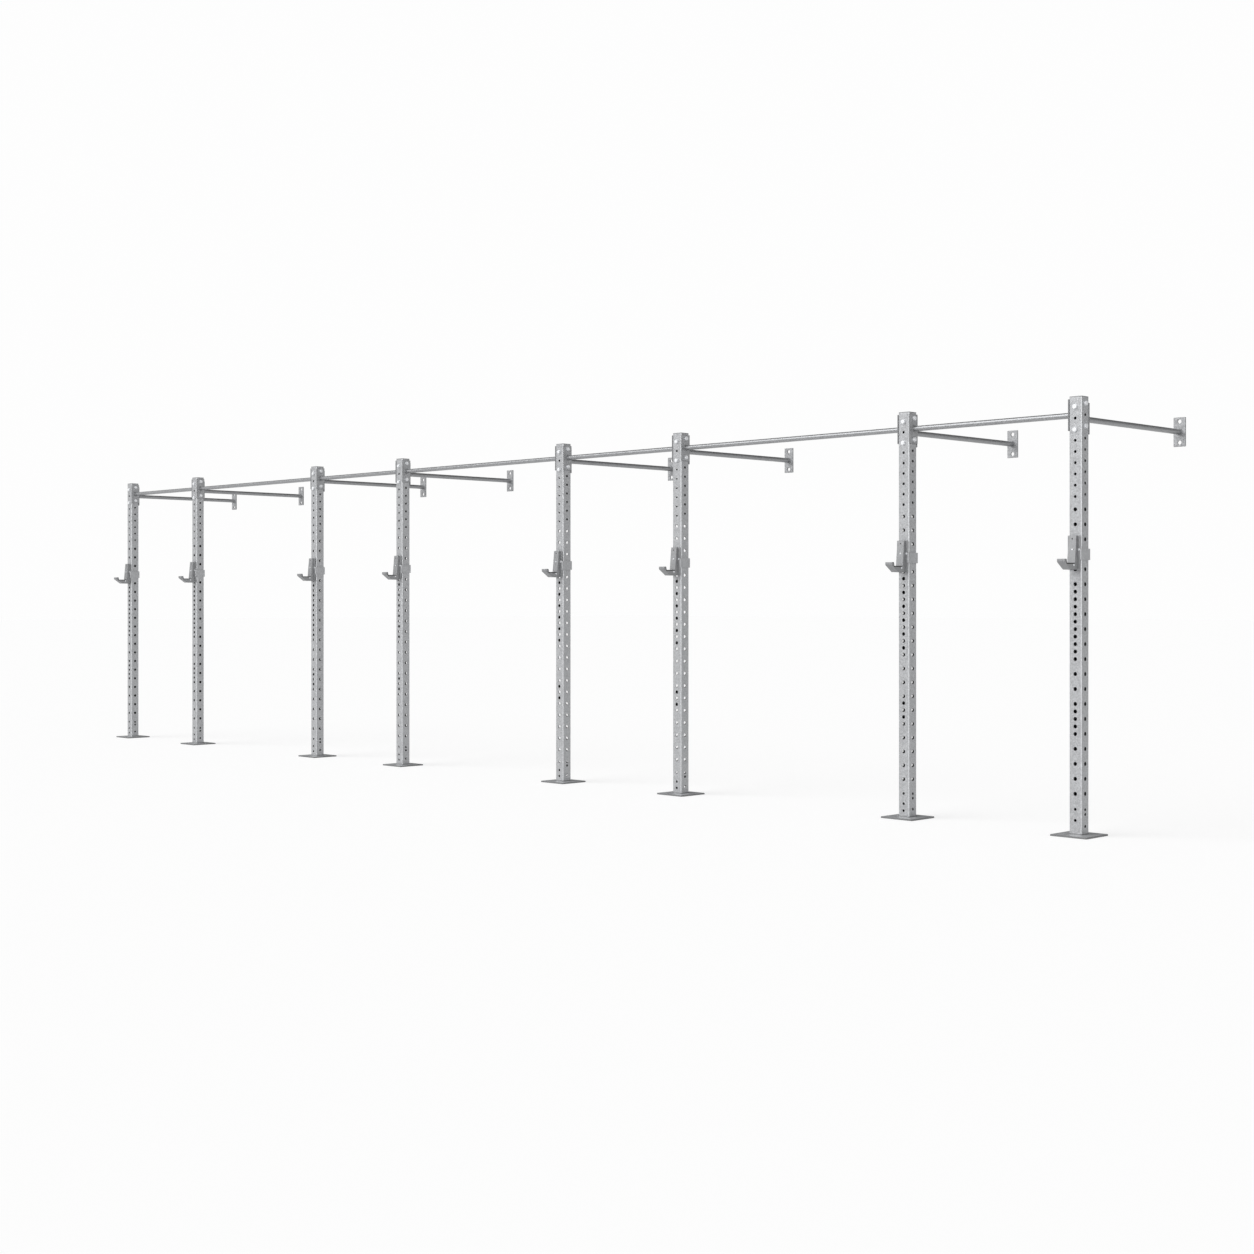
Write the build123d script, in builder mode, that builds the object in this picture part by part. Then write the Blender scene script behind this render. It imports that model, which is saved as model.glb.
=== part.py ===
from build123d import *
import os

# Outdoor fitness station: a row of eight perforated uprights, braced to a wall, with seven
# pull-up bars between them and a J-cup for a barbell on each. The row runs along X with
# upright 1 at the +X end, the wall lies towards +Y, and the floor is Z = 0.

# The row
station_height = 2500.0
short_bay = 1200.0
long_bay = 1930.0
bay_count = 7

# Uprights: square tube with rounded corners, closed by a cap let into its mouth
tube_side = 80.0
tube_wall = 3.0
tube_corner = 8.0
cap_thickness = 3.0
cap_recess = 2.0
base_side = 235.0
base_thickness = 10.0

# The ladder of holes that a J-cup hangs in
ladder_bottom = 242.0
ladder_pitch = 85.0
ladder_hole_radius = 11.0
cup_rung = 16

# Pipe members: pull-up bars between the uprights, arms back to the wall, each at its own drop
# below the top of the uprights
pipe_radius = 16.85
pipe_wall = 3.2
bar_drop = 105.0
arm_drop = 125.0
arm_length = 1120.0

# End plates: as wide as the tube, with one bolt hole above and one below the pipe
end_plate_height = 180.0
end_plate_thickness = 8.0
bolt_spacing = 130.0
bolt_hole_radius = 13.0

# J-cup bracket: a front plate with a strap that wraps round the right side of the tube
cup_clearance = 0.3
cup_plate_above = 106.0
cup_plate_below = 88.0
cup_plate_thickness = 8.0
pad_thickness = 6.0
pad_margin = 10.0
strap_thickness = 6.0
strap_height = 64.0
strap_return = 22.0
strap_bend = 5.0

# J-cup hook: reaches are measured forward from the front face of the tube, and heights up
# from the underside of the hook
hook_width = 50.0
hook_wall = 8.0
hook_reach = 154.0
bend_reach = 90.0
saddle_end_reach = 130.0
saddle_start_reach = 46.0
crown_reach = 24.0
floor_height = 32.0
tip_height = 60.0
tip_face = 17.0
tip_depth = 17.0
liner_thickness = 6.0

# J-cup pin: a stub welded to the inside of the strap, hidden in the upright
pin_radius = 10.5
pin_length = 40.0
pin_sides = 16

# Sides of the holes that repeat at the top joints, and of the hidden bores of the pipes
joint_hole_sides = 8

bays = [long_bay if n % 2 else short_bay for n in range(bay_count)]
row_length = sum(bays)
upright_xs = [row_length / 2 - sum(bays[:n]) for n in range(bay_count + 1)]
front_face = tube_side / 2
bar_height = station_height - bar_drop
arm_height = station_height - arm_drop
cup_height = ladder_bottom + cup_rung * ladder_pitch

# The row line is set so that the origin lies under the middle of the whole station
row_y = ((front_face + hook_reach) - (front_face + arm_length)) / 2
bolt_offsets = (-bolt_spacing / 2, bolt_spacing / 2)


def write(piece, name):
    """Label a finished piece and write it to its own STEP file."""
    piece.label = name
    export_step(piece, f"parts/{name}.step")


def side_view(outline):
    """Points in the YZ plane for an outline of reaches and heights on the J-cup's hook."""
    return [(-front_face - reach, cup_bottom + height) for reach, height in outline]


os.makedirs("parts", exist_ok=True)

# The bore of the square tube, which the cap fills at the top
with BuildSketch() as bore:
    Rectangle(tube_side - 2 * tube_wall, tube_side - 2 * tube_wall)
    chamfer(bore.vertices(), length=tube_corner - tube_wall)

# Upright: the tube, its bolt holes at the top joints and the ladder hole that holds the J-cup
with BuildPart() as upright:
    with BuildSketch(Plane.XY.offset(base_thickness)):
        RectangleRounded(tube_side, tube_side, tube_corner)
        add(bore.sketch, mode=Mode.SUBTRACT)
    extrude(amount=station_height - base_thickness)
    with BuildSketch(Plane.YZ):
        with Locations(*[(0, bar_height + offset) for offset in bolt_offsets]):
            RegularPolygon(bolt_hole_radius, joint_hole_sides, major_radius=False)
    extrude(amount=tube_side, both=True, mode=Mode.SUBTRACT)
    with BuildSketch(Plane.XZ):
        with Locations(*[(0, arm_height + offset) for offset in bolt_offsets]):
            RegularPolygon(bolt_hole_radius, joint_hole_sides, major_radius=False)
    extrude(amount=-tube_side, mode=Mode.SUBTRACT)
    with BuildSketch(Plane.YZ):
        with Locations((0, cup_height)):
            Circle(ladder_hole_radius)
    extrude(amount=tube_side, mode=Mode.SUBTRACT)

# Base plate under an upright
with BuildPart() as base_plate:
    with BuildSketch():
        Rectangle(base_side, base_side)
    extrude(amount=base_thickness)

# Cap that closes the top of an upright
with BuildPart() as cap:
    with BuildSketch(Plane.XY.offset(station_height - cap_recess)):
        add(bore.sketch)
    extrude(amount=-cap_thickness)

# Plates stand in the YZ plane with their seat at X = 0. One kind joins pipes to the uprights,
# the other takes the anchors in the wall.
with BuildPart() as joint_plate:
    with BuildSketch(Plane.YZ):
        Rectangle(tube_side, end_plate_height)
        with Locations(*[(0, offset) for offset in bolt_offsets]):
            RegularPolygon(bolt_hole_radius, joint_hole_sides, major_radius=False, mode=Mode.SUBTRACT)
    extrude(amount=end_plate_thickness)

with BuildPart() as wall_plate:
    with BuildSketch(Plane.YZ):
        Rectangle(tube_side, end_plate_height)
    extrude(amount=end_plate_thickness)
    with Locations(*[Location((end_plate_thickness, 0, offset), (0, 90, 0)) for offset in bolt_offsets]):
        Hole(bolt_hole_radius)

# Pipe section, and pipes of the three lengths, each starting at X = 0
with BuildSketch() as pipe_section:
    Circle(pipe_radius)
    RegularPolygon(pipe_radius - pipe_wall, joint_hole_sides, mode=Mode.SUBTRACT)

with BuildPart() as short_pipe:
    with BuildSketch(Plane.YZ):
        add(pipe_section.sketch)
    extrude(amount=short_bay - tube_side - 2 * end_plate_thickness)

with BuildPart() as long_pipe:
    with BuildSketch(Plane.YZ):
        add(pipe_section.sketch)
    extrude(amount=long_bay - tube_side - 2 * end_plate_thickness)

with BuildPart() as arm_pipe:
    with BuildSketch(Plane.YZ):
        add(pipe_section.sketch)
    extrude(amount=arm_length - 2 * end_plate_thickness)

# J-cup plate and hook, welded into one piece
plate_back = -(front_face + cup_clearance + pad_thickness)
plate_front = plate_back - cup_plate_thickness
strap_inside = front_face + cup_clearance
strap_outside = strap_inside + strap_thickness
cup_bottom = cup_height - cup_plate_below

# Outline of the hook from the side: forward reach from the tube, height above the underside
hook_outline = [
    (-plate_front - front_face, 0),
    (bend_reach, 0),
    (hook_reach, tip_height - tip_face),
    (hook_reach, tip_height),
    (hook_reach - tip_depth, tip_height),
    (saddle_end_reach, floor_height),
    (saddle_start_reach, floor_height),
    (crown_reach, cup_plate_below + cup_plate_above),
    (-plate_front - front_face, cup_plate_below + cup_plate_above),
]
# The hollow between the two cheeks, open underneath
hollow_outline = [
    (-plate_front - front_face, 0),
    (bend_reach - hook_wall, 0),
    (saddle_end_reach - hook_wall, floor_height - hook_wall),
    (saddle_start_reach - hook_wall, floor_height - hook_wall),
    (-plate_front - front_face, cup_plate_below),
]

with BuildPart() as cup:
    with BuildSketch(Plane.XZ.offset(-plate_back)):
        with Locations((0, cup_bottom + (cup_plate_below + cup_plate_above) / 2)):
            Rectangle(tube_side, cup_plate_below + cup_plate_above)
    extrude(amount=cup_plate_thickness)
    with BuildSketch(Plane.YZ):
        with BuildLine():
            Polyline(*side_view(hook_outline), close=True)
        make_face()
    extrude(amount=hook_width / 2, both=True)
    with BuildSketch(Plane.YZ):
        with BuildLine():
            Polyline(*side_view(hollow_outline), close=True)
        make_face()
    extrude(amount=hook_width / 2 - hook_wall, both=True, mode=Mode.SUBTRACT)

# Liners: a strip on the saddle and the inside of the lip, and a pad behind the front plate
lip_slope = (hook_reach - tip_depth - saddle_end_reach) / (tip_height - floor_height)
liner_outline = [
    (saddle_start_reach, floor_height),
    (saddle_end_reach, floor_height),
    (hook_reach - tip_depth, tip_height),
    (hook_reach - tip_depth - liner_thickness, tip_height),
    (saddle_end_reach - liner_thickness + lip_slope * liner_thickness, floor_height + liner_thickness),
    (saddle_start_reach, floor_height + liner_thickness),
]
with BuildPart() as liner:
    with BuildSketch(Plane.YZ):
        with BuildLine():
            Polyline(*side_view(liner_outline), close=True)
        make_face()
    extrude(amount=hook_width / 2, both=True)
    with BuildSketch(Plane.XZ.offset(-plate_back)):
        with Locations((0, cup_bottom + (cup_plate_below + cup_plate_above) / 2)):
            Rectangle(tube_side - 2 * pad_margin, cup_plate_below + cup_plate_above - 2 * pad_margin)
    extrude(amount=-pad_thickness)

# Strap: bent round the right side of the tube from the edge of the front plate, with the pin
# that enters the ladder hole
with BuildPart() as strap:
    with BuildSketch(Plane.XY.offset(cup_height - strap_height / 2)):
        with BuildLine():
            Polyline(
                (front_face, plate_front),
                (strap_outside, plate_front),
                (strap_outside, strap_outside),
                (strap_inside - strap_return, strap_outside),
                (strap_inside - strap_return, strap_inside),
                (strap_inside, strap_inside),
                (strap_inside, plate_back),
                (front_face, plate_back),
                close=True,
            )
        make_face()
    extrude(amount=strap_height)
    bends = strap.edges().filter_by(Axis.Z).filter_by_position(Axis.X, strap_outside, strap_outside)
    fillet(bends, radius=strap_bend)

with BuildPart() as pin:
    with BuildSketch(Plane.YZ.offset(strap_inside)):
        with Locations((0, cup_height)):
            RegularPolygon(pin_radius, pin_sides)
    extrude(amount=-pin_length)

with BuildPart() as strap_and_pin:
    add(strap.part)
    add(pin.part)

# The members are repeated along the row
for number, x in enumerate(upright_xs, start=1):
    place = Location((x, row_y, 0))
    write(upright.part.moved(place), f"upright_{number}")
    write(base_plate.part.moved(place), f"base_plate_{number}")
    arm_place = Location((x, row_y + front_face + end_plate_thickness, arm_height), (0, 0, 90))
    write(arm_pipe.part.moved(arm_place), f"wall_arm_{number}")
    write(cup.part.moved(place), f"j_cup_{number}")
    write(liner.part.moved(place), f"j_cup_liner_{number}")
    write(strap_and_pin.part.moved(place), f"j_cup_strap_{number}")

for number, (bay, x) in enumerate(zip(bays, upright_xs[1:]), start=1):
    pipe = long_pipe if bay == long_bay else short_pipe
    start = Location((x + front_face + end_plate_thickness, row_y, bar_height))
    write(pipe.part.moved(start), f"pull_up_bar_{number}")

with BuildPart() as caps:
    with Locations(*[(x, row_y, 0) for x in upright_xs]):
        add(cap.part)
write(caps.part, "upright_caps")

# Bar plates seat on the sides that face a bay: the +X side of all uprights but the first,
# and the -X side of all but the last
right_sides = [Location((x + front_face, row_y, bar_height)) for x in upright_xs[1:]]
left_sides = [Location((x - front_face, row_y, bar_height), (0, 0, 180)) for x in upright_xs[:-1]]
with BuildPart() as bar_plates:
    with Locations(*right_sides, *left_sides):
        add(joint_plate.part)
write(bar_plates.part, "bar_end_plates")

with BuildPart() as arm_plates:
    with Locations(*[Location((x, row_y + front_face, arm_height), (0, 0, 90)) for x in upright_xs]):
        add(joint_plate.part)
write(arm_plates.part, "arm_end_plates")

wall_y = row_y + front_face + arm_length
with BuildPart() as wall_plates:
    with Locations(*[Location((x, wall_y, arm_height), (0, 0, -90)) for x in upright_xs]):
        add(wall_plate.part)
write(wall_plates.part, "wall_plates")
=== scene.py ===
"""Outdoor fitness station: eight perforated uprights braced to a wall, with pull-up bars and J-cups.

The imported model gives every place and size. This script builds the dressed pieces on it, gives them
their galvanised finishes, and sets up the studio floor, the lights and the camera.
"""

import logging
import math
from collections.abc import Sequence
from dataclasses import dataclass
from enum import Enum, IntEnum

import bmesh
import bpy
from bmesh import ops
from bmesh.types import BMEdge, BMesh, BMFace, BMVert
from bpy.types import NodeSocket
from mathutils import Matrix, Vector


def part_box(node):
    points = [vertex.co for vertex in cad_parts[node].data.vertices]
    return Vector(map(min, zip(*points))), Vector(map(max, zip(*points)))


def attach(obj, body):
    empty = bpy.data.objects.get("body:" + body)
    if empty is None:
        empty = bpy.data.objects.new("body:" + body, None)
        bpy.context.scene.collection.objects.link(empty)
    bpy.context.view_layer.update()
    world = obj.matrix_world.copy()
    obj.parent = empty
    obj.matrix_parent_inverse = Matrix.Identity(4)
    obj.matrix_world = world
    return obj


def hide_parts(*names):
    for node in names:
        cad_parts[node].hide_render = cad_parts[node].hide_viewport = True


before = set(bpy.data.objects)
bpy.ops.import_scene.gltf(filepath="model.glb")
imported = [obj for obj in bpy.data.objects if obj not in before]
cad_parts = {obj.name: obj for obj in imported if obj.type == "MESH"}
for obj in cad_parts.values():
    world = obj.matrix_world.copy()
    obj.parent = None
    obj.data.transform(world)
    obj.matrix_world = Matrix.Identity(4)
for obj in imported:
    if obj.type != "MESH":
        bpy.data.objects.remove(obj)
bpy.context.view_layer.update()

LOG = logging.getLogger("fitness_station")
IMAGE_SIZE = 1254.0
# Name of the painted highlight along the tubes' rounded corners
CORNER_HIGHLIGHT = "painted_corner_highlight"
NUMBERS = range(1, 9)

# How far each weld reaches out and up, from its outer edge to its inner one, as shares of its leg
PIPE_WELD = ((1.0, -0.2), (0.78, 0.42), (0.4, 0.8), (-0.2, 1.0))
FOOT_WELD = ((1.0, -1 / 6), (0.75, 0.45), (0.35, 0.8), (-1 / 6, 1.0))

RIGHT = Vector((1, 0, 0))
BACK = Vector((0, 1, 0))
UP = Vector((0, 0, 1))


class Slot(Enum):
    """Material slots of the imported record."""

    STEEL = "galvanised_steel"
    LINER = "liner"


class Side(Enum):
    """The four walls of a square tube, by quarter turns about its axis from the front wall."""

    FRONT = 0
    RIGHT = 1
    REAR = 2
    LEFT = 3


class TubePaint(IntEnum):
    """The finishes of an upright besides that of its skin, by their index in its mesh. The bore and the hole
    walls are near-black as painted shade, and the rim and the weld are darker, partly as painted shade.
    """

    RIM = 1
    WELD = 2
    BORE = 3
    HOLE = 4


class HookPaint(IntEnum):
    """The finishes of a hook besides that of its skin, by their index in its mesh. The bolts are bright zinc
    brightened as a painted glint, and the hole is a near-black disc standing on the face, painted shade where
    a hole would be.
    """

    BOLT = 1
    HOLE = 2


class NodeSheet:
    """Adds and links the nodes of one material or world."""

    def __init__(self, tree: bpy.types.NodeTree) -> None:
        """Start from an empty node tree.

        Args:
            tree: the node tree to fill.
        """
        self.tree = tree
        self.tree.nodes.clear()

    def add(self, kind: str, inputs: dict | None = None, **settings: object) -> bpy.types.Node:
        """Add one node.

        Args:
            kind: the node's type name, without the leading "ShaderNode".
            inputs: socket name or index to a plain value or to an output socket to link.
            settings: properties of the node itself.

        Returns:
            The new node.
        """
        node = self.tree.nodes.new("ShaderNode" + kind)
        for name, value in settings.items():
            setattr(node, name, value)
        for key, value in (inputs or {}).items():
            if isinstance(value, NodeSocket):
                self.tree.links.new(value, node.inputs[key])
            else:
                node.inputs[key].default_value = value
        return node

    def math(self, operation: str, first: object, second: object = 0.0) -> NodeSocket:
        """Add a Math node.

        Args:
            operation: what it does.
            first: its first number, or the socket to link there.
            second: its second number, or the socket to link there.

        Returns:
            Its result.
        """
        return self.add("Math", {0: first, 1: second}, operation=operation).outputs[0]

    def spread(self, source: NodeSocket, low: float, high: float) -> NodeSocket:
        """Map a pattern of 0 to 1 onto another range.

        Args:
            source: the pattern.
            low: what 0 becomes.
            high: what 1 becomes.

        Returns:
            The mapped pattern.
        """
        inputs = {"Value": source, "To Min": low, "To Max": high}
        return self.add("MapRange", inputs, clamp=True).outputs["Result"]

    def swing(self, source: NodeSocket, reach: float) -> NodeSocket:
        """Turn a pattern of 0 to 1 into a change down and up.

        Args:
            source: the pattern.
            reach: the greatest change either way.

        Returns:
            The change.
        """
        return self.spread(source, -reach, reach)

    def looked_at(self) -> tuple[NodeSocket, NodeSocket]:
        """Tell the rays that look at a surface from those that only carry light.

        Returns:
            One for camera rays, and one for camera, glossy and transmission rays.
        """
        path = self.add("LightPath").outputs
        seen = self.math("MAXIMUM", path["Is Camera Ray"], path["Is Glossy Ray"])
        return path["Is Camera Ray"], self.math("MAXIMUM", seen, path["Is Transmission Ray"])


@dataclass(frozen=True)
class Finish:
    """A named finish, whose material is made of nodes when it is first used."""

    name: str

    def material(self) -> bpy.types.Material:
        """Make the finish, or return the one already made.

        Returns:
            The material.
        """
        made = bpy.data.materials.get(self.name)
        if made is None:
            made = bpy.data.materials.new(self.name)
            made.use_nodes = True
            sheet = NodeSheet(made.node_tree)
            place = sheet.add("TexCoord").outputs["Object"]
            shader = sheet.add("BsdfPrincipled", self.surface(sheet, place))
            sheet.add("OutputMaterial", {"Surface": shader.outputs[0]})
        return made

    def surface(self, sheet: NodeSheet, place: NodeSocket) -> dict:
        """Add the nodes of the pattern.

        Args:
            sheet: the nodes of the material.
            place: the object coordinates.

        Returns:
            The value or socket for each input of the shader.
        """
        raise NotImplementedError


@dataclass(frozen=True)
class SteelFinish(Finish):
    """Hot-dip galvanised steel: zinc spangle, fine speckle, soft clouds and runs, and a dull sheen.

    Sizes are in metres. Where corner_highlight is above zero, the tone rises by that share along the rounded
    corners, as a painted highlight.
    """

    tone: float
    metallic: float = 0.40
    roughness: float = 0.40
    spangle_size: float = 0.006
    spangle_contrast: float = 0.16
    spangle_sheen: float = 0.07
    speckle_size: float = 0.003
    speckle_contrast: float = 0.30
    speckle_sheen: float = 0.05
    speckle_detail: float = 3.0
    cloud_size: float = 0.25
    cloud_contrast: float = 0.05
    cloud_detail: float = 2.0
    noise_roughness: float = 0.6
    run_scale: tuple[float, float, float] = (60.0, 60.0, 2.5)
    bump: float = 0.2
    bump_height: float = 0.0006
    bump_spangle: float = 0.6
    corner_highlight: float = 0.0
    tint: tuple[float, float, float] = (0.985, 1.0, 1.025)

    def surface(self, sheet: NodeSheet, place: NodeSocket) -> dict:
        """Add the nodes of the galvanised surface, as Finish.surface says."""
        cells = {"Vector": place, "Scale": 1 / self.spangle_size, "Randomness": 1.0}
        spangle = sheet.add("TexVoronoi", cells)
        cell = sheet.add("SeparateColor", {0: spangle.outputs["Color"]}).outputs[0]
        fine = {"Vector": place, "Detail": self.speckle_detail, "Roughness": self.noise_roughness}
        speckle = sheet.add("TexNoise", {**fine, "Scale": 1 / self.speckle_size}).outputs[0]
        soft = {"Vector": place, "Detail": self.cloud_detail, "Roughness": self.noise_roughness}
        clouds = sheet.add("TexNoise", {**soft, "Scale": 1 / self.cloud_size}).outputs[0]
        stretched = sheet.add("Mapping", {"Vector": place, "Scale": self.run_scale}).outputs[0]
        streaks = {"Vector": stretched, "Scale": 1.0, "Detail": self.cloud_detail}
        runs = sheet.add("TexNoise", streaks).outputs[0]
        patterns = (
            (cell, self.spangle_contrast),
            (speckle, self.speckle_contrast),
            (clouds, self.cloud_contrast),
            (runs, self.cloud_contrast / 2),
        )
        shade = 1.0
        for pattern, contrast in patterns:
            shade = sheet.math("ADD", shade, sheet.swing(pattern, contrast))
        # Painted highlight: the tone rises along the middle of the rounded corners.
        if self.corner_highlight > 0:
            highlight = sheet.add("Attribute", attribute_name=CORNER_HIGHLIGHT).outputs["Fac"]
            shade = sheet.math("ADD", shade, sheet.spread(highlight, 0.0, self.corner_highlight))
        tone = tuple(self.tone * part for part in self.tint)
        colour = sheet.add("VectorMath", {0: tone, "Scale": shade}, operation="SCALE").outputs[0]
        rough = sheet.math("ADD", sheet.swing(cell, self.spangle_sheen), self.roughness)
        rough = sheet.math("ADD", rough, sheet.swing(speckle, self.speckle_sheen))
        rim = sheet.math("MULTIPLY", spangle.outputs["Distance"], self.bump_spangle)
        height = sheet.math("ADD", speckle, rim)
        relief = {"Strength": self.bump, "Distance": self.bump_height, "Height": height}
        bump = sheet.add("Bump", relief).outputs[0]
        return {"Base Color": colour, "Metallic": self.metallic, "Roughness": rough, "Normal": bump}


@dataclass(frozen=True)
class RubberFinish(Finish):
    """Dull black rubber with a fine grain and a dusty, uneven sheen."""

    tone: float = 0.03
    roughness: float = 0.72
    grain_size: float = 0.0016
    grain_detail: float = 4.0
    grain_contrast: float = 0.2
    dust_scale: float = 28.0
    dust_detail: float = 5.0
    dust_range: tuple[float, float] = (0.7, 1.9)
    dust_sheen: float = 0.12
    bump: float = 0.35
    bump_height: float = 0.0005

    def surface(self, sheet: NodeSheet, place: NodeSocket) -> dict:
        """Add the nodes of the rubber, as Finish.surface says."""
        fine = {"Vector": place, "Scale": 1 / self.grain_size, "Detail": self.grain_detail}
        grain = sheet.add("TexNoise", fine).outputs[0]
        coarse = {"Vector": place, "Scale": self.dust_scale, "Detail": self.dust_detail}
        dust = sheet.add("TexNoise", coarse).outputs[0]
        dusty = sheet.spread(dust, *self.dust_range)
        shade = sheet.math("ADD", dusty, sheet.swing(grain, self.grain_contrast))
        colour = sheet.add("VectorMath", {0: (self.tone,) * 3, "Scale": shade}, operation="SCALE").outputs[0]
        rough = sheet.math("ADD", sheet.swing(dust, self.dust_sheen), self.roughness)
        relief = {"Strength": self.bump, "Distance": self.bump_height, "Height": grain}
        return {"Base Color": colour, "Roughness": rough, "Normal": sheet.add("Bump", relief).outputs[0]}


# The tube's tone rises along its rounded corners as a painted highlight.
TUBE_STEEL = SteelFinish("galvanised_tube", tone=0.46, corner_highlight=0.55)
# Darker plate sides, hole walls, tube top band and strap edges: partly a cut-edge finish, partly painted
# shade.
RIM_STEEL_AND_SHADE = SteelFinish("galvanised_cut_edge_and_painted_shade", tone=0.22, roughness=0.55, spangle_contrast=0.05)
# Near-black inside of the tubes and the hook's hole disc: painted shade.
PAINTED_BORE_SHADE = SteelFinish("painted_bore_shade", tone=0.03, metallic=0.2, roughness=0.8, spangle_contrast=0.2)
# Near-black walls of the tube holes: painted shade.
PAINTED_HOLE_SHADE = SteelFinish("painted_hole_wall_shade", tone=0.05, roughness=0.6, spangle_contrast=0.1)
PIPE_STEEL = SteelFinish("galvanised_pipe", tone=0.34, metallic=0.75, roughness=0.30, spangle_size=0.005)
# The arms take a darker copy of the pipe steel: painted shade.
SHADED_ARM_STEEL = SteelFinish("galvanised_arm_painted_shade", tone=0.29, metallic=0.75, roughness=0.38, spangle_size=0.005)
PLATE_STEEL = SteelFinish("galvanised_plate", tone=0.39, spangle_size=0.010)
# The foot plates take a lighter copy of the plate steel: painted light on their tops.
LIT_BASE_STEEL = SteelFinish("galvanised_base_painted_light", tone=0.54, spangle_size=0.010)
# Welds are darker than the steel, and darker still as painted shade where the parts meet.
WELD_STEEL_AND_SHADE = SteelFinish("galvanised_weld_and_painted_shade", tone=0.24, roughness=0.5, speckle_size=0.004, bump=0.5)
CUP_STEEL = SteelFinish("galvanised_bracket", tone=0.31, roughness=0.42, spangle_contrast=0.12)
STRAP_STEEL = SteelFinish("galvanised_strap", tone=0.46, roughness=0.42, spangle_contrast=0.12)
# Bolts are bright zinc, brightened to near white as a painted glint.
BOLT_STEEL_AND_GLINT = SteelFinish("bright_zinc_bolt_and_painted_glint", tone=0.95, metallic=0.15, roughness=0.35, spangle_contrast=0.02)
LINER_RUBBER = RubberFinish("liner_rubber")


@dataclass(frozen=True)
class Hole:
    """A round hole in a flat wall, by its place across and up the wall."""

    across: float
    up: float
    radius: float


def middle_of(node: str) -> Vector:
    """The middle of a CAD node's box.

    Args:
        node: the CAD node.

    Returns:
        Its middle.
    """
    low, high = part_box(node)
    return (low + high) / 2


def edges_between(verts: list[BMVert]) -> list[BMEdge]:
    """The edges that run between the given vertices.

    Args:
        verts: vertices of one loop.

    Returns:
        Its edges.
    """
    inside = set(verts)
    return list({e for v in verts for e in v.link_edges if e.other_vert(v) in inside})


def circle_loop(bm: BMesh, radius: float, steps: int, place: Matrix) -> list[BMEdge]:
    """A circle in the local XY plane.

    Args:
        bm: the mesh to add to.
        radius: its radius.
        steps: its number of edges.
        place: where its middle goes.

    Returns:
        Its edges.
    """
    ring = ops.create_circle(bm, cap_ends=False, segments=steps, radius=radius, matrix=place)
    return edges_between(ring["verts"])


def outline_loop(
    bm: BMesh, width: float, height: float, corner: float, depth: float, steps: int
) -> list[BMEdge]:
    """A rectangle with rounded corners, flat in XY at Z = depth and centred on the Z axis.

    Args:
        bm: the mesh to add to.
        width: size along X.
        height: size along Y.
        corner: radius of the corners, or zero for sharp ones.
        depth: Z of the outline.
        steps: edges round each corner.

    Returns:
        The edges of the outline.
    """
    shape = Matrix.Translation((0, 0, depth)) @ Matrix.Diagonal((width, height, 1, 1))
    verts = ops.create_grid(bm, x_segments=1, y_segments=1, size=0.5, matrix=shape)["verts"]
    faces = list({f for v in verts for f in v.link_faces})
    if corner > 0:
        made = ops.bevel(
            bm, geom=verts, offset=corner, segments=steps, profile=0.5, affect="VERTICES", material=-1
        )
        faces = list({f for v in made["verts"] for f in v.link_faces})
    edges = list({e for f in faces for e in f.edges})
    ops.delete(bm, geom=faces, context="FACES_ONLY")
    return edges


def sink_holes(
    bm: BMesh, holes: Sequence[Hole], thickness: float, chamfer: float, steps: int, rim: int
) -> tuple[list[BMEdge], list[BMEdge]]:
    """The walls of holes, each from a chamfered mouth at Z = 0 down to Z = -thickness.

    Each hole is turned by its own angle, so that the corners of a row of holes don't line up.

    Args:
        bm: the mesh to add to.
        holes: where the holes are and how wide.
        thickness: the depth of the holes.
        chamfer: the width of the chamfer at their mouths.
        steps: edges round each hole.
        rim: material index of their faces.

    Returns:
        The edges of the mouths, and the edges at the far ends.
    """
    mouths, ends = [], []
    for hole in holes:
        centre = Matrix.Translation((hole.across, hole.up, 0))
        turned = centre @ Matrix.Rotation(hole.up * steps, 4, "Z")
        radius = hole.radius + chamfer
        edges = circle_loop(bm, radius, steps, turned)
        mouths += edges
        for scale, drop in ((hole.radius / radius, chamfer), (1.0, thickness - chamfer)):
            made = ops.extrude_edge_only(bm, edges=edges)["geom"]
            verts = [g for g in made if isinstance(g, BMVert)]
            paint([g for g in made if isinstance(g, BMFace)], rim)
            if scale != 1.0:
                ops.scale(bm, vec=(scale, scale, 1), space=centre.inverted(), verts=verts)
            ops.translate(bm, vec=(0, 0, -drop), verts=verts)
            edges = edges_between(verts)
        ends += edges
    return mouths, ends


def fill(bm: BMesh, edges: list[BMEdge]) -> list[BMFace]:
    """Fill a flat outline and leave the holes in it open.

    Args:
        bm: the mesh that holds the outline.
        edges: the edges of the outline and of its holes.

    Returns:
        The new faces.
    """
    made = ops.triangle_fill(bm, use_beauty=True, use_dissolve=False, edges=edges, normal=(0, 0, 1))
    return [g for g in made["geom"] if isinstance(g, BMFace)]


def bridge(bm: BMesh, loops: list[list[BMEdge]]) -> list[BMFace]:
    """Join each loop to the next one with faces.

    Args:
        bm: the mesh that holds the loops.
        loops: the edges of each loop.

    Returns:
        The new faces.
    """
    pairs = zip(loops, loops[1:])
    return [f for first, second in pairs for f in ops.bridge_loops(bm, edges=first + second)["faces"]]


def paint(faces: list[BMFace], finish: int) -> None:
    """Give faces one of the finishes of their piece.

    Args:
        faces: the faces.
        finish: index of the finish.
    """
    for face in faces:
        face.material_index = finish


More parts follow.
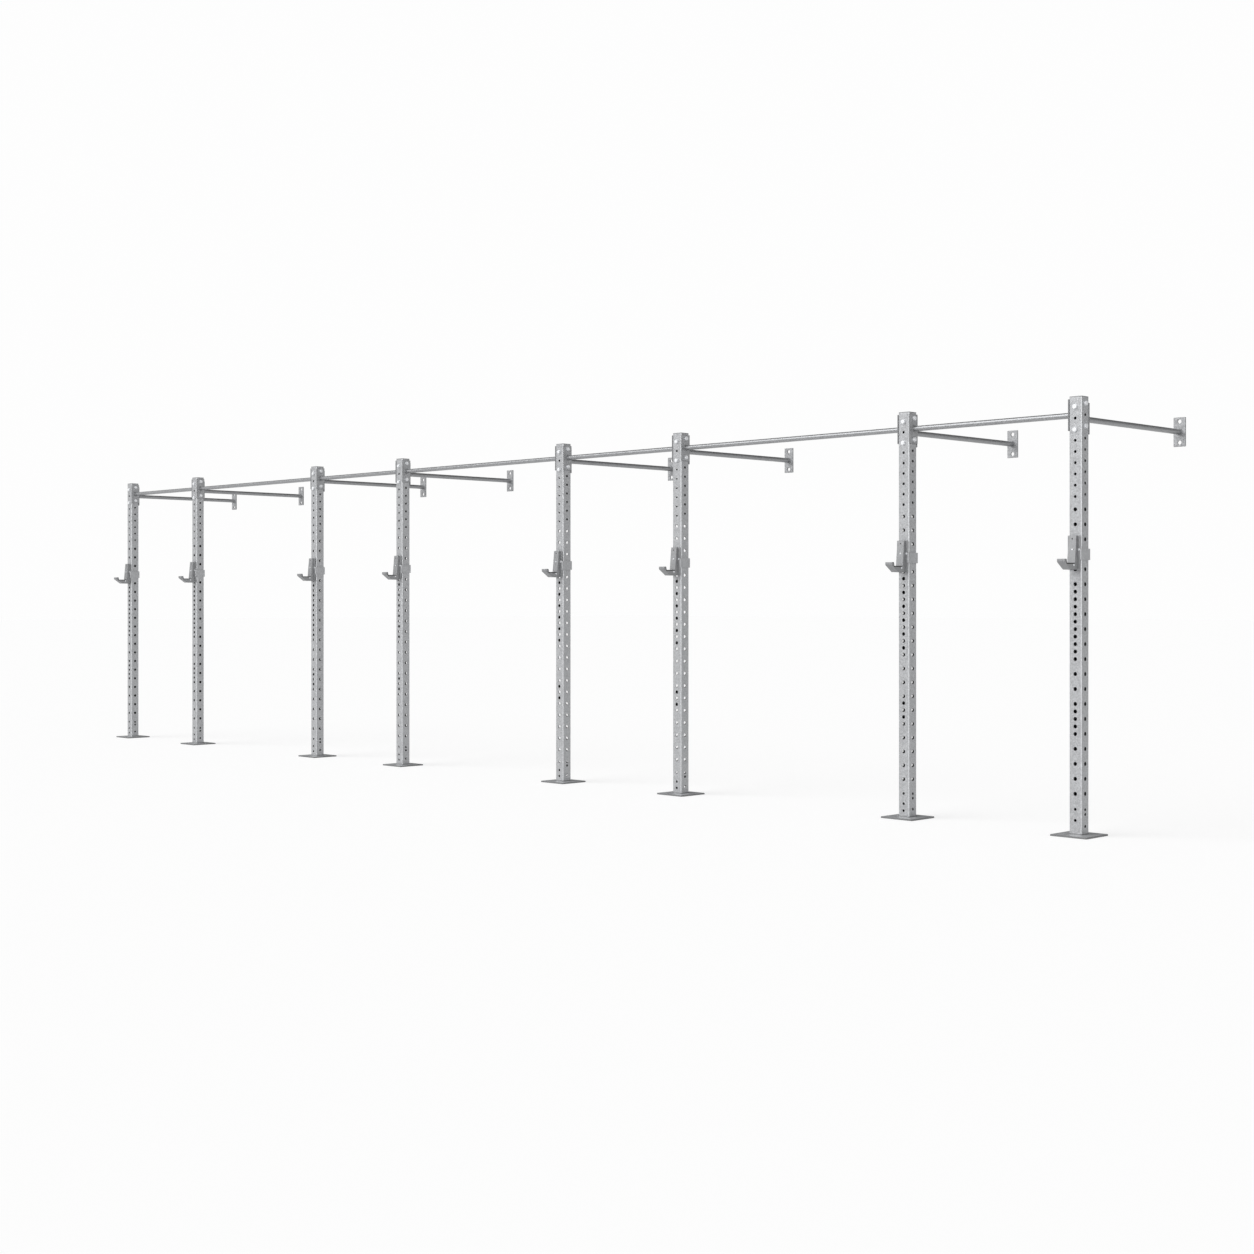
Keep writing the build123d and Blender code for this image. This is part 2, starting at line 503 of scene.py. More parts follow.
def add_rod(bm: BMesh, radius: float, sides: int, low: float, high: float) -> None:
    """Add a closed prism along the Z axis.

    Args:
        bm: the mesh to add to.
        radius: distance of its corners from the axis.
        sides: number of its sides.
        low: Z of its lower end.
        high: Z of its upper end.
    """
    middle = Matrix.Translation((0, 0, (low + high) / 2))
    ends = {"radius1": radius, "radius2": radius, "depth": high - low}
    ops.create_cone(bm, cap_ends=True, segments=sides, matrix=middle, **ends)


def round_edges(
    bm: BMesh, edges: list[BMEdge], width: float, steps: int = 2, clamp: bool = False
) -> None:
    """Round edges of a mesh.

    Args:
        bm: the mesh.
        edges: the edges to round.
        width: how far the rounding reaches from each edge.
        steps: number of faces across it.
        clamp: whether it stops where it would meet another one.
    """
    shape = {"segments": steps, "profile": 0.5, "affect": "EDGES", "clamp_overlap": clamp}
    ops.bevel(bm, geom=edges, offset=width, material=-1, **shape)


def axis_frame(origin: Vector, across: Vector, up: Vector) -> Matrix:
    """A placing matrix from its origin and the directions of its local X and Y.

    Args:
        origin: where the local origin goes.
        across: world direction of local X.
        up: world direction of local Y.

    Returns:
        The matrix.
    """
    turn = Matrix((across, up, across.cross(up))).transposed()
    return Matrix.Translation(origin) @ turn.to_4x4()


@dataclass(frozen=True)
class Slab:
    """A flat plate with rounded corners, chamfered edges and chamfered holes."""

    width: float
    height: float
    thickness: float
    corner: float = 0.003
    chamfer: float = 0.0012
    holes: tuple[Hole, ...] = ()
    hole_steps: int = 28
    rim: int = 1
    corner_steps: int = 4

    def add_to(self, bm: BMesh, place: Matrix) -> None:
        """Build the plate with its seat on the local XY plane, its thickness towards local +Z.

        Args:
            bm: the mesh to add to.
            place: where the plate goes.
        """
        part = bmesh.new()
        top, low = self.thickness, 0.0
        levels = (
            (top, self.chamfer),
            (top - self.chamfer, 0.0),
            (low + self.chamfer, 0.0),
            (low, self.chamfer),
        )
        loops = []
        for level, inset in levels:
            corner = max(self.corner - inset, self.corner / 2)
            width, height = self.width - 2 * inset, self.height - 2 * inset
            loops.append(outline_loop(part, width, height, corner, level, self.corner_steps))
        sink = (self.thickness, self.chamfer / 2, self.hole_steps, self.rim)
        mouths, ends = sink_holes(part, self.holes, *sink)
        lift = list({v for f in part.faces for v in f.verts})
        ops.translate(part, vec=(0, 0, self.thickness), verts=lift)
        fill(part, loops[0] + mouths)
        fill(part, loops[-1] + ends)
        # The sides take the darker rim finish, partly a cut edge and partly painted shade.
        paint(bridge(part, loops), self.rim)
        ops.recalc_face_normals(part, faces=part.faces[:])
        merge_into(bm, part, place)


def merge_into(bm: BMesh, part: BMesh, place: Matrix | None = None) -> None:
    """Add a finished mesh to another and free it.

    Args:
        bm: the mesh that receives it.
        part: the mesh that is added.
        place: where it goes, if not where it is.
    """
    if place is not None:
        ops.transform(part, matrix=place, verts=part.verts[:])
    step = bpy.data.meshes.new("step")
    part.to_mesh(step)
    part.free()
    bm.from_mesh(step)
    bpy.data.meshes.remove(step)


def weld_ring(
    bm: BMesh, radius: float, leg: float, place: Matrix, steps: int = 48, weld: int = 1
) -> None:
    """A fillet weld round a pipe, where it meets a plate on the local XY plane.

    Args:
        bm: the mesh to add to.
        radius: radius of the pipe.
        leg: the leg length of the weld.
        place: where the weld goes, its pipe along local +Z.
        steps: steps round the pipe.
        weld: material index of the weld.
    """
    part = bmesh.new()
    verts = [part.verts.new((radius + leg * reach, 0, leg * rise)) for reach, rise in PIPE_WELD]
    edges = [part.edges.new(pair) for pair in zip(verts, verts[1:])]
    turn = {"cent": (0, 0, 0), "axis": (0, 0, 1), "angle": math.tau, "steps": steps}
    ops.spin(part, geom=verts + edges, use_merge=True, **turn)
    ops.remove_doubles(part, verts=part.verts[:], dist=leg / 100)
    ripple_height, ripple_count = 0.012, 12
    for vert in part.verts:
        angle = math.atan2(vert.co.y, vert.co.x)
        ripple = 1 + ripple_height * math.sin(angle * ripple_count) * (vert.co.z > 0)
        vert.co.x *= ripple
        vert.co.y *= ripple
    ops.recalc_face_normals(part, faces=part.faces[:])
    flip_inward(part, Vector((0, 0, 0)))
    paint(part.faces[:], weld)
    merge_into(bm, part, place)


def flip_inward(bm: BMesh, centre: Vector) -> None:
    """Turn an open band of faces round when it faces its own axis.

    Args:
        bm: the mesh, which holds only the band.
        centre: a point on the band's axis.
    """
    outward = sum((f.calc_center_median() - centre).dot(f.normal) * f.calc_area() for f in bm.faces)
    if outward < 0:
        ops.reverse_faces(bm, faces=bm.faces[:])


@dataclass
class Piece:
    """One finished piece: its mesh, its finishes, and what carries it."""

    name: str
    finishes: tuple[Finish, ...]
    replaces: tuple[str, ...] = ()
    body: str = "frame"
    slot: Slot = Slot.STEEL
    smooth_below: float = 32.0

    def finish(self, bm: BMesh) -> bpy.types.Object:
        """Turn a mesh in the making into the finished object.

        Args:
            bm: the mesh in the making, which is freed.

        Returns:
            The object, riding on its body.
        """
        mesh = bpy.data.meshes.new(self.name)
        bm.to_mesh(mesh)
        bm.free()
        return self.dress(mesh)

    def dress(self, mesh: bpy.types.Mesh) -> bpy.types.Object:
        """Give a mesh its finishes and put it on its body.

        Args:
            mesh: the piece's mesh, in its place.

        Returns:
            The object.
        """
        for finish in self.finishes:
            mesh.materials.append(finish.material())
        mesh.shade_smooth()
        mesh.set_sharp_from_angle(angle=math.radians(self.smooth_below))
        made = bpy.data.objects.new(self.name, mesh)
        bpy.context.scene.collection.objects.link(made)
        weights = made.modifiers.new("even_shading", "WEIGHTED_NORMAL")
        weights.keep_sharp = True
        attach(made, self.body)
        if self.replaces:
            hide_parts(*self.replaces)
        LOG.info("%s: %d faces", self.name, len(mesh.polygons))
        return made


@dataclass
class Uprights:
    """Square tubes with rounded corners and a ladder of holes, each with its weld at the foot.

    Heights are above the floor. The sparse uprights lack the topmost half-pitch hole and the lowest
    small hole of their front and rear walls.
    """

    wall: float = 0.003
    corner: float = 0.008
    corner_steps: int = 6
    chamfer: float = 0.0005
    hole_steps: int = 22
    weld_leg: float = 0.006
    ladder_radius: float = 0.011
    ladder_bottom: float = 0.242
    ladder_pitch: float = 0.085
    ladder_count: int = 20
    half_bottom: float = 0.6245
    half_steps: tuple[int, ...] = (0, 1, 5, 6, 7, 8, 9)
    last_half_step: int = 10
    low_hole: float = 0.048
    sparse: tuple[int, ...] = (1,)
    joint_radius: float = 0.009
    bar_joints: tuple[float, ...] = (2.460, 2.330)
    arm_joints: tuple[float, ...] = (2.440, 2.310)
    small_radius: float = 0.0080
    front_small: tuple[float, ...] = (2.375, 2.249, 2.185, 2.1215, 2.058, 1.994, 1.930, 0.154, 0.091)
    side_small: tuple[float, ...] = (2.395, 2.261, 2.197, 2.1335, 2.070, 2.006, 1.942, 0.152, 0.125, 0.057)
    top_band: float = 0.0042
    top_chamfer: float = 0.0014
    highlight_power: float = 7.0

    def holes(self, side: Side, full: bool) -> list[Hole]:
        """The holes of one wall, from the floor up.

        Args:
            side: which wall.
            full: whether the front and rear have their topmost half-pitch hole and lowest small hole.

        Returns:
            Its holes, across the wall and up from the floor.
        """
        front = side in (Side.FRONT, Side.REAR)
        ladder = [self.ladder_bottom + self.ladder_pitch * step for step in range(self.ladder_count)]
        rows = [(self.ladder_radius, ladder)]
        if front:
            steps = (*self.half_steps, self.last_half_step) if full else self.half_steps
            rows.append((self.ladder_radius, [self.half_bottom + self.ladder_pitch * step for step in steps]))
            if full:
                rows.append((self.small_radius, [self.low_hole]))
        rows.append((self.joint_radius, self.arm_joints if front else self.bar_joints))
        rows.append((self.small_radius, self.front_small if front else self.side_small))
        return [Hole(0, up, radius) for radius, heights in rows for up in heights]

    def template(self, tube: float, foot: float, top: float, full: bool) -> bpy.types.Mesh:
        """One upright on the Z axis.

        Args:
            tube: side length of the tube.
            foot: height of its lower end.
            top: height of its upper end.
            full: whether it has all the holes, or is one of the sparse ones.

        Returns:
            The finished mesh.
        """
        bm = bmesh.new()
        flat = tube - 2 * self.corner
        for side in Side:
            wall = bmesh.new()
            # The hole walls take a near-black finish, which is painted shade.
            sink = (self.wall, self.chamfer, self.hole_steps, TubePaint.HOLE)
            mouths, ends = sink_holes(wall, self.holes(side, full), *sink)
            middle = Matrix.Translation((0, (top + foot) / 2, 0))
            for depth, inner in ((0.0, mouths), (-self.wall, ends)):
                before = set(wall.verts)
                loop = outline_loop(wall, flat, top - foot, 0, depth, 1)
                new = [v for v in wall.verts if v not in before]
                ops.transform(wall, matrix=middle, verts=new)
                skin = fill(wall, loop + inner)
                # The inner skin is near-black: painted shade inside the tube.
                if depth < 0:
                    paint(skin, TubePaint.BORE)
            turn = Matrix.Rotation(math.pi / 2 * side.value, 4, "Z")
            place = axis_frame(-BACK * tube / 2, RIGHT, UP)
            self._round_corner(wall, flat)
            merge_into(bm, wall, turn @ place)
        ops.remove_doubles(bm, verts=bm.verts[:], dist=self.wall / 1000)
        near = self.wall / 100
        for level in (foot, top):
            open_edges = [e for e in bm.edges if e.is_boundary]
            fill(bm, [e for e in open_edges if all(abs(v.co.z - level) < near for v in e.verts)])
        ops.recalc_face_normals(bm, faces=bm.faces[:])
        self._soften_top(bm, tube, top)
        self._foot_weld(bm, tube, foot)
        mesh = bpy.data.meshes.new("upright_template")
        bm.to_mesh(mesh)
        bm.free()
        self._paint_corner_highlight(mesh, tube / 2 - self.corner)
        return mesh

    def _soften_top(self, bm: BMesh, tube: float, top: float) -> None:
        """Ease the outer edge round the mouth of the tube and give its top band the darker rim finish, partly
        a ground edge and partly painted shade.

        Args:
            bm: the mesh of the tube.
            tube: side length of the tube.
            top: height of its upper end.
        """
        geom = bm.verts[:] + bm.edges[:] + bm.faces[:]
        level = (0, 0, top - self.top_band)
        ops.bisect_plane(bm, geom=geom, dist=self.wall / 1000, plane_co=level, plane_no=(0, 0, 1))
        near = self.wall / 100
        paint([f for f in bm.faces if all(v.co.z > level[2] - near for v in f.verts)], TubePaint.RIM)
        inside = (tube - self.wall) / 2
        mouth = [v for v in bm.verts if v.co.z > top - near and max(abs(v.co.x), abs(v.co.y)) > inside]
        shrink = 1 - 2 * self.top_chamfer / tube
        ops.scale(bm, vec=(shrink, shrink, 1), verts=mouth)

    def _round_corner(self, wall: BMesh, flat: float) -> None:
        """Sweep the right-hand edges of a wall round the corner of the tube.

        Args:
            wall: a flat wall in its own XY plane, outside at Z = 0.
            flat: width of the flat part of the wall.
        """
        near = self.wall / 100
        side = [e for e in wall.edges if all(abs(v.co.x - flat / 2) < near for v in e.verts)]
        turn = {"cent": (flat / 2, 0, -self.corner), "axis": (0, 1, 0), "angle": math.pi / 2}
        for edge in [e for e in side if abs(e.verts[0].co.z - e.verts[1].co.z) < near]:
            ops.spin(wall, geom=[edge, *edge.verts], steps=self.corner_steps, **turn)

    def _foot_weld(self, bm: BMesh, tube: float, foot: float) -> None:
        """Lay a fillet weld round the foot of the tube.

        Args:
            bm: the mesh to add to.
            tube: side length of the tube.
            foot: height of the plate's top.
        """
        part = bmesh.new()
        loops = []
        for reach, rise in FOOT_WELD:
            grown, level = self.weld_leg * reach, foot + self.weld_leg * rise
            side = tube + 2 * grown
            loops.append(outline_loop(part, side, side, self.corner + grown, level, self.corner_steps))
        bridge(part, loops)
        ops.recalc_face_normals(part, faces=part.faces[:])
        flip_inward(part, UP * foot)
        paint(part.faces[:], TubePaint.WELD)
        merge_into(bm, part)

    def _paint_corner_highlight(self, mesh: bpy.types.Mesh, reach: float) -> None:
        """Paint a highlight onto the rounded corners: full along the middle of each, fading to its sides.

        Args:
            mesh: the mesh of an upright on the Z axis.
            reach: how far the axes of the rounded corners lie from the middle of each wall.
        """
        marks = []
        for vert in mesh.vertices:
            across, along = abs(vert.co.x) - reach, abs(vert.co.y) - reach
            angle = math.atan2(max(along, 0.0), max(across, 0.0))
            marks.append(math.sin(2 * angle) ** self.highlight_power if min(across, along) > 0 else 0.0)
        mesh.attributes.new(CORNER_HIGHLIGHT, "FLOAT", "POINT").data.foreach_set("value", marks)

    def build(self) -> None:
        """Build both templates once and set a copy of the right one in the place of each upright."""
        low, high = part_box("upright_1")
        templates = {full: self.template(high.x - low.x, low.z, high.z, full) for full in (False, True)}
        for number in NUMBERS:
            middle = middle_of(f"upright_{number}")
            copy = templates[number not in self.sparse].copy()
            copy.name = f"perforated_upright_{number}"
            copy.transform(Matrix.Translation((middle.x, middle.y, 0)))
            finishes = (TUBE_STEEL, RIM_STEEL_AND_SHADE, WELD_STEEL_AND_SHADE, PAINTED_BORE_SHADE, PAINTED_HOLE_SHADE)
            Piece(copy.name, finishes, (f"upright_{number}",)).dress(copy)
        for mesh in templates.values():
            bpy.data.meshes.remove(mesh)


@dataclass
class Plates:
    """The flat plates: base plates, top caps, and the end plates of the bars and arms."""

    bolt_spacing: float = 0.130
    joint_radius: float = 0.009
    wall_radius: float = 0.013
    base_corner: float = 0.004
    base_chamfer: float = 0.0015
    cap_corner: float = 0.005
    cap_chamfer: float = 0.0006
    finishes: tuple[Finish, ...] = (PLATE_STEEL, RIM_STEEL_AND_SHADE)

    def base_plates(self) -> None:
        """Build the plate under each upright."""
        for number in NUMBERS:
            node = f"base_plate_{number}"
            low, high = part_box(node)
            slab = Slab(*(high - low), corner=self.base_corner, chamfer=self.base_chamfer)
            middle = middle_of(node)
            bm = bmesh.new()
            slab.add_to(bm, Matrix.Translation((middle.x, middle.y, low.z)))
            Piece(f"foot_plate_{number}", (LIT_BASE_STEEL, RIM_STEEL_AND_SHADE), (node,)).finish(bm)

    def caps(self) -> None:
        """Build the caps let into the tops of the uprights, as one piece."""
        low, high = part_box("upright_caps")
        bore = high.y - low.y
        slab = Slab(bore, bore, high.z - low.z, corner=self.cap_corner, chamfer=self.cap_chamfer)
        bm = bmesh.new()
        for number in NUMBERS:
            middle = middle_of(f"upright_{number}")
            slab.add_to(bm, Matrix.Translation((middle.x, middle.y, low.z)))
        Piece("top_caps", self.finishes, ("upright_caps",)).finish(bm)

    def joint_slab(self, node: str, width: float, thickness: float, radius: float) -> Slab:
        """The plate of one kind of joint, with a bolt hole above and below the pipe.

        Args:
            node: the CAD node of this kind.
            width: width of the plate.
            thickness: thickness of the plate.
            radius: radius of its holes.

        Returns:
            The plate.
        """
        low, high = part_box(node)
        holes = tuple(Hole(0, sign * self.bolt_spacing / 2, radius) for sign in (-1, 1))
        return Slab(width, high.z - low.z, thickness, holes=holes)

    def end_plates(self, thickness: float) -> None:
        """Build the plates at the ends of the bars and arms, and on the wall.

        Args:
            thickness: thickness of all these plates.
        """
        boxes = [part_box(f"upright_{number}") for number in NUMBERS]
        width = boxes[0][1].x - boxes[0][0].x

        bars = bmesh.new()
        slab = self.joint_slab("bar_end_plates", width, thickness, self.joint_radius)
        height = middle_of("bar_end_plates").z
        for index, (first, last) in enumerate(boxes):
            y = (first.y + last.y) / 2
            if index > 0:
                slab.add_to(bars, axis_frame(Vector((last.x, y, height)), BACK, UP))
            if index < len(boxes) - 1:
                slab.add_to(bars, axis_frame(Vector((first.x, y, height)), -BACK, UP))
        Piece("bar_joint_plates", self.finishes, ("bar_end_plates",)).finish(bars)

        arms, walls = bmesh.new(), bmesh.new()
        arm_slab = self.joint_slab("arm_end_plates", width, thickness, self.joint_radius)
        wall_slab = self.joint_slab("wall_plates", width, thickness, self.wall_radius)
        wall_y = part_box("wall_plates")[1].y
        height = middle_of("arm_end_plates").z
        for first, last in boxes:
            x = (first.x + last.x) / 2
            arm_slab.add_to(arms, axis_frame(Vector((x, last.y, height)), -RIGHT, UP))
            wall_slab.add_to(walls, axis_frame(Vector((x, wall_y, height)), RIGHT, UP))
        Piece("arm_joint_plates", self.finishes, ("arm_end_plates",)).finish(arms)
        Piece("wall_mount_plates", self.finishes, ("wall_plates",)).finish(walls)


@dataclass
class Pipes:
    """Round pipes with a real bore and a weld at each end: pull-up bars and wall arms."""

    wall: float = 0.0032
    steps: int = 56
    weld_leg: float = 0.0045

    def pipe(self, node: str, name: str, finish: SteelFinish) -> None:
        """Build one pipe in the place of its CAD node.

        Args:
            node: the CAD node.
            name: the name of the piece.
            finish: the finish of the pipe itself.
        """
        low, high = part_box(node)
        size = high - low
        along_x = size.x > size.y
        length = max(size.x, size.y)
        radius = size.z / 2
        axis, across, up = (RIGHT, BACK, UP) if along_x else (BACK, UP, RIGHT)
        place = axis_frame(middle_of(node) - axis * length / 2, across, up)
        bm = bmesh.new()
        loops = []
        bore = radius - self.wall
        for reach, level in ((radius, 0.0), (radius, length), (bore, length), (bore, 0.0)):
            end = Matrix.Translation((0, 0, level))
            loops.append(circle_loop(bm, reach, self.steps, end))
        bridge(bm, loops + loops[:1])
        ops.recalc_face_normals(bm, faces=bm.faces[:])
        weld_ring(bm, radius, self.weld_leg, Matrix.Identity(4))
        far = Matrix.Translation((0, 0, length)) @ Matrix.Rotation(math.pi, 4, "X")
        weld_ring(bm, radius, self.weld_leg, far)
        ops.transform(bm, matrix=place, verts=bm.verts[:])
        Piece(name, (finish, WELD_STEEL_AND_SHADE), (node,)).finish(bm)

    def build(self) -> None:
        """Build the bars between the uprights and the arms to the wall."""
        for number in NUMBERS[:-1]:
            self.pipe(f"pull_up_bar_{number}", f"bar_pipe_{number}", PIPE_STEEL)
        for number in NUMBERS:
            self.pipe(f"wall_arm_{number}", f"arm_pipe_{number}", SHADED_ARM_STEEL)


@dataclass
class JointBolts:
    """Hexagon bolts with washers and nuts, which go through the tubes and their end plates."""

    bolt_spacing: float = 0.130
    head_radius: float = 0.0137
    head_height: float = 0.0095
    washer_radius: float = 0.0136
    washer_height: float = 0.0022
    shank_radius: float = 0.0078
    nut_height: float = 0.0105
    edge: float = 0.0011
    disc_sides: int = 28
    head_sides: int = 6
    shank_sides: int = 20
    thread_end: float = 1.02
    flat_end: float = 0.9

    def prism(self, bm: BMesh, radius: float, sides: int, low: float, high: float, edge: float) -> None:
        """A chamfered prism or disc along the Z axis.

        Args:
            bm: the mesh to add to.
            radius: distance of its corners from the axis.
            sides: number of sides.
            low: Z of its lower end.
            high: Z of its upper end.
            edge: width of the chamfer round both ends.
        """
        part = bmesh.new()
        add_rod(part, radius, sides, low, high)
        ends = [f for f in part.faces if abs(f.normal.z) > self.flat_end]
        round_edges(part, list({e for f in ends for e in f.edges}), edge)
        merge_into(bm, part)

    def bolt(self, bm: BMesh, seat: Vector, out: Vector, grip: float) -> None:
        """One bolt with its washers and nut.

        Args:
            bm: the mesh to add to.
            seat: the point on its axis where its head seats.
            out: the direction in which its head stands out.
            grip: the thickness that it clamps.
        """
        part = bmesh.new()
        washer, head = self.washer_height, self.head_height
        under = -grip - washer
        bottom = under - self.nut_height
        tip = under - self.nut_height * self.thread_end
        rods = (
            (self.washer_radius, self.disc_sides, 0, washer, self.edge / 3),
            (self.head_radius, self.head_sides, washer, washer + head, self.edge),
            (self.washer_radius, self.disc_sides, under, -grip, self.edge / 3),
            (self.head_radius, self.head_sides, bottom, under, self.edge),
            (self.shank_radius, self.shank_sides, tip, washer, self.edge / 2),
        )
        for rod in rods:
            self.prism(part, *rod)
        merge_into(bm, part, axis_frame(seat, UP.cross(out), UP))

    def build(self, thickness: float) -> None:
        """Build all the bolts as one piece.

        Args:
            thickness: thickness of the end plates.
        """
        bm = bmesh.new()
        bar_height = middle_of("bar_end_plates").z
        arm_height = middle_of("arm_end_plates").z
        for number in NUMBERS:
            low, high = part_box(f"upright_{number}")
            middle, tube = (low + high) / 2, high.x - low.x
            right = thickness if number > NUMBERS[0] else 0.0
            left = thickness if number < NUMBERS[-1] else 0.0
            for offset in (-self.bolt_spacing / 2, self.bolt_spacing / 2):
                seat = Vector((high.x + right, middle.y, bar_height + offset))
                self.bolt(bm, seat, RIGHT, tube + left + right)
                seat = Vector((middle.x, low.y, arm_height + offset))
                self.bolt(bm, seat, -BACK, tube + thickness)
        Piece("hexagon_bolts", (BOLT_STEEL_AND_GLINT,)).finish(bm)


@dataclass
class JCup:
    """A J-cup bracket: the bent hook on its plate, its strap and pin, its liners and its bolts.

    Reaches go forward from the front face of the tube, heights up from the underside of the hook. A
    small bolt's dome is a share of its height, and its sunk part a share of its radius.
    """

    number: int
    edge: float = 0.0012
    liner_edge: float = 0.0008
    saddle_reach: float = 0.046
    crown_reach: float = 0.024
    crown_shift: float = 0.006
    tip_edge: float = 0.004
    floor_height: float = 0.032
    crown_height: float = 0.194
    plate_reach: float = 0.0143
    half_width: float = 0.025
    bolt_radius: float = 0.0052
    bolt_height: float = 0.0026
    bolt_sides: int = 20
    bolt_rise: float = 0.114
    face_bolt_offset: float = 0.004
    plate_bolt_offset: float = 0.032
    cheek_bolt: tuple[float, float] = (0.055, 0.026)
    bolt_growth: float = 1.25
    bolt_dome: float = 0.6
    bolt_sunk: float = 0.1
    hole_rise: float = 0.175
    hole_radius: float = 0.00416
    hole_height: float = 0.000325
    merge: float = 0.00001
    sharp: float = 24.0
    cut_edge_and_shade_tilt: float = 0.3

    @property
    def hook_node(self) -> str:
        """The CAD node of the hook and plate."""
        return f"j_cup_{self.number}"

    def softened(self, node: str, edge: float) -> BMesh:
        """A copy of a CAD node with its sharp edges rounded.

        Args:
            node: the CAD node.
            edge: width of the rounding.

        Returns:
            The mesh in the making.
        """
        bm = bmesh.new()
        bm.from_mesh(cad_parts[node].data)
        ops.remove_doubles(bm, verts=bm.verts[:], dist=self.merge)
        flat = math.radians(1)
        ops.dissolve_limit(bm, angle_limit=flat, verts=bm.verts[:], edges=bm.edges[:])
        if node == self.hook_node:
            self._shape_hook(bm)
        limit = math.radians(self.sharp)
        edges = [e for e in bm.edges if e.is_manifold and e.calc_face_angle() > limit]
        round_edges(bm, edges, edge, clamp=True)
        paint(bm.faces[:], 0)
        return bm

    def _shape_hook(self, bm: BMesh) -> None:
        """Fill out the crown of the hook and round the face of its tip.

        Args:
            bm: a merged copy of the CAD hook and plate.
        """
        low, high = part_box(self.hook_node)
        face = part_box(f"upright_{self.number}")[0].y
        near = self.edge
        top = [v for v in bm.verts if abs(v.co.z - high.z) < near]
        crown = [v for v in top if abs(face - v.co.y - self.crown_reach) < near]
        ops.translate(bm, vec=(0, -self.crown_shift, 0), verts=crown)
        tip = [e for e in bm.edges if all(v.co.y < low.y + near for v in e.verts)]
        round_edges(bm, tip, self.tip_edge, steps=4, clamp=True)

    def hook(self) -> None:
        """Build the hook and plate."""
        bm = self.softened(self.hook_node, self.edge)
        self._small_bolts(bm)
        self._finish(bm, "hook", self.hook_node, (CUP_STEEL, BOLT_STEEL_AND_GLINT, PAINTED_BORE_SHADE))

    def _finish(
        self, bm: BMesh, kind: str, node: str, finishes: tuple[Finish, ...], slot: Slot = Slot.STEEL
    ) -> None:
        """Turn a mesh into a finished piece of this J-cup.

        Args:
            bm: the mesh in the making.
            kind: the middle of the piece's name.
            node: the CAD node that it replaces.
            finishes: its finishes.
            slot: its material slot, which the piece keeps but nothing uses.
        """
        body = f"cup_{self.number}"
        Piece(f"cup_{kind}_{self.number}", finishes, (node,), body, slot).finish(bm)

    def _small_bolts(self, bm: BMesh) -> None:
        """Set the small bolts: on the face of the hook, on the plate and on the hook's cheek.

        Args:
            bm: the mesh to add to.
        """
        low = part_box(self.hook_node)[0]
        first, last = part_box(f"upright_{self.number}")
        middle, face = (first.x + last.x) / 2, first.y
        crown_reach = self.crown_reach + self.crown_shift
        slope = (self.saddle_reach - crown_reach) / (self.crown_height - self.floor_height)
        up = Vector((0, slope, 1)).normalized()

        def on_slope(offset: float, height: float) -> Matrix:
            """A place on the sloping face of the hook.

            Args:
                offset: how far it lies to the right of the middle.
                height: how far it lies above the underside.

            Returns:
                The placing matrix.
            """
            reach = self.saddle_reach - (height - self.floor_height) * slope
            return axis_frame(Vector((middle + offset, face - reach, low.z + height)), RIGHT, up)

        seat = Vector((middle + self.plate_bolt_offset, face - self.plate_reach, low.z + self.bolt_rise))
        on_plate = axis_frame(seat, RIGHT, UP)
        reach, rise = self.cheek_bolt
        on_cheek = axis_frame(Vector((middle + self.half_width, face - reach, low.z + rise)), BACK, UP)
        on_face = on_slope(self.face_bolt_offset, self.bolt_rise)
        for place, grown in ((on_face, 1.0), (on_plate, self.bolt_growth), (on_cheek, self.bolt_growth)):
            self._button(bm, place, self.bolt_radius * grown, self.bolt_height, HookPaint.BOLT)
        # A near-black disc stands in for a hole in the hook's face: painted shade.
        hole_place = on_slope(0.0, self.hole_rise)
        self._button(bm, hole_place, self.hole_radius, self.hole_height, HookPaint.HOLE)

    def _button(self, bm: BMesh, place: Matrix, radius: float, height: float, finish: int) -> None:
        """A low domed disc that stands on a face.

        Args:
            bm: the mesh to add to.
            place: the middle of its seat, with its axis along local Z.
            radius: its radius.
            height: how far it stands out.
            finish: material index of its faces.
        """
        part = bmesh.new()
        add_rod(part, radius, self.bolt_sides, -radius * self.bolt_sunk, height)
        rim = [e for e in part.edges if all(v.co.z > height / 2 for v in e.verts)]
        round_edges(part, rim, height * self.bolt_dome, steps=3)
        paint(part.faces[:], finish)
        merge_into(bm, part, place)

    def strap(self) -> None:
        """Build the strap with its pin; its top and bottom cut edges are darker, partly their own finish and
        partly painted shade.
        """
        node = f"j_cup_strap_{self.number}"
        bm = self.softened(node, self.edge)
        paint([f for f in bm.faces if abs(f.normal.z) > self.cut_edge_and_shade_tilt], 1)
        self._finish(bm, "strap_and_pin", node, (STRAP_STEEL, RIM_STEEL_AND_SHADE))

    def liner(self) -> None:
        """Build the liners."""
        node = f"j_cup_liner_{self.number}"
        bm = self.softened(node, self.liner_edge)
        self._finish(bm, "liner", node, (LINER_RUBBER,), Slot.LINER)

    def build(self) -> None:
        """Build the whole J-cup."""
        self.hook()
        self.strap()
        self.liner()


